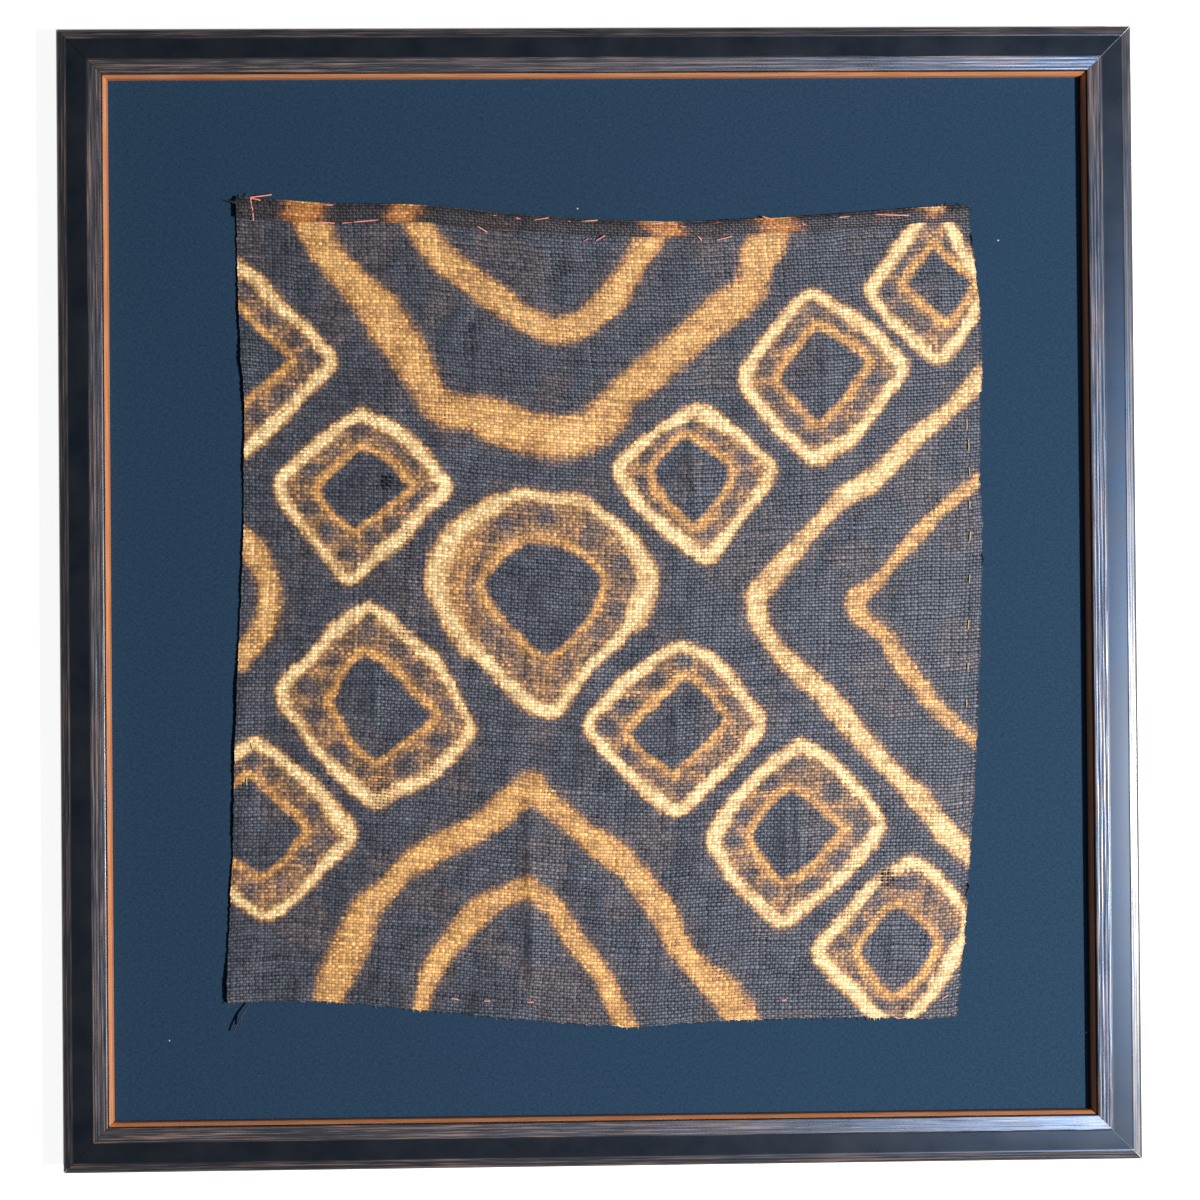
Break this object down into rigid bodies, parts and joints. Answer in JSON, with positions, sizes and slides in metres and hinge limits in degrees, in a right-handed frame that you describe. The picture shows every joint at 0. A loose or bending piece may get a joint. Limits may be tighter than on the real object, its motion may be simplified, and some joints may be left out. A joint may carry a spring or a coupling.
{
  "type": "framed kuba raffia cloth with its picture frame",
  "caption": "Resist-dyed raffia cloth with lozenge and chevron bands, mounted on a navy cloth board in a dark wood picture frame with a copper-coloured sight edge.",
  "frame": {"origin": "centre of the frame's back, on the surface that the frame lies on", "axes": "+Z out of the picture's face, +Y towards the picture's top edge, +X towards its right-hand edge"},
  "size_m": [0.7, 0.74, 0.0219],
  "materials": {
    "frame_lacquer": "satin dark lacquer, scraped through along the edges",
    "slip_copper": "copper-coloured metallic paint",
    "board_cloth": "fine plain-weave navy cloth",
    "raffia": "coarse plain-weave raffia, resist dyed"
  },
  "bodies": {
    "root": {"top_rail": "frame_lacquer", "right_rail": "frame_lacquer", "bottom_rail": "frame_lacquer", "left_rail": "frame_lacquer", "top_slip": "slip_copper", "right_slip": "slip_copper", "bottom_slip": "slip_copper", "left_slip": "slip_copper", "backing_board": "board_cloth", "raffia_cloth": "raffia"}
  },
  "joints": []
}
